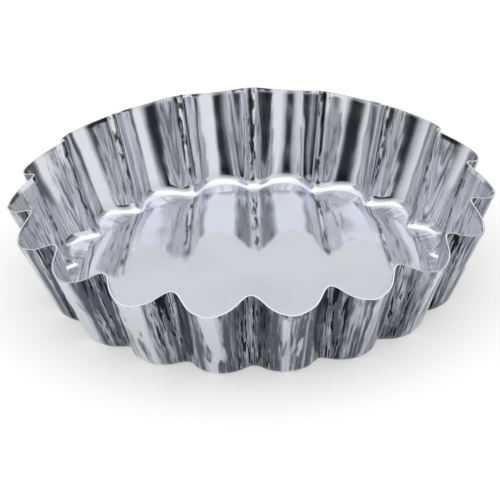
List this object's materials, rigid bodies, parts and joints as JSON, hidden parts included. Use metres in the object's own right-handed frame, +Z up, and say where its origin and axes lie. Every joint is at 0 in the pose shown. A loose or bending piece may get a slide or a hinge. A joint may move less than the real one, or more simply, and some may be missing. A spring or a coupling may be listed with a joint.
{
  "type": "tartlet mould",
  "caption": "Round fluted tartlet mould in bright tinplate: a flared, scalloped ring with a raw wavy rim, turned in at the foot as a seat for a flat base that lifts out.",
  "frame": {"origin": "on the tin's axis, in the plane that its foot stands on", "axes": "+Z up along the tin's axis; +X runs through the middle of a lobe; the flutes repeat round Z"},
  "size_m": [0.1, 0.0986, 0.0206],
  "materials": {
    "ring_tinplate": "bright pressed tinplate, drawn lightly along the flutes",
    "base_tinplate": "bright flat tinplate, near mirror"
  },
  "bodies": {
    "ring": {"fluted_ring": "ring_tinplate"},
    "base": {"loose_base": "base_tinplate"}
  },
  "joints": [
    {"name": "base_lift", "type": "slide", "parent": "ring", "child": "base", "axis": [0, 0, 1], "range_m": [0, 0.04]}
  ]
}
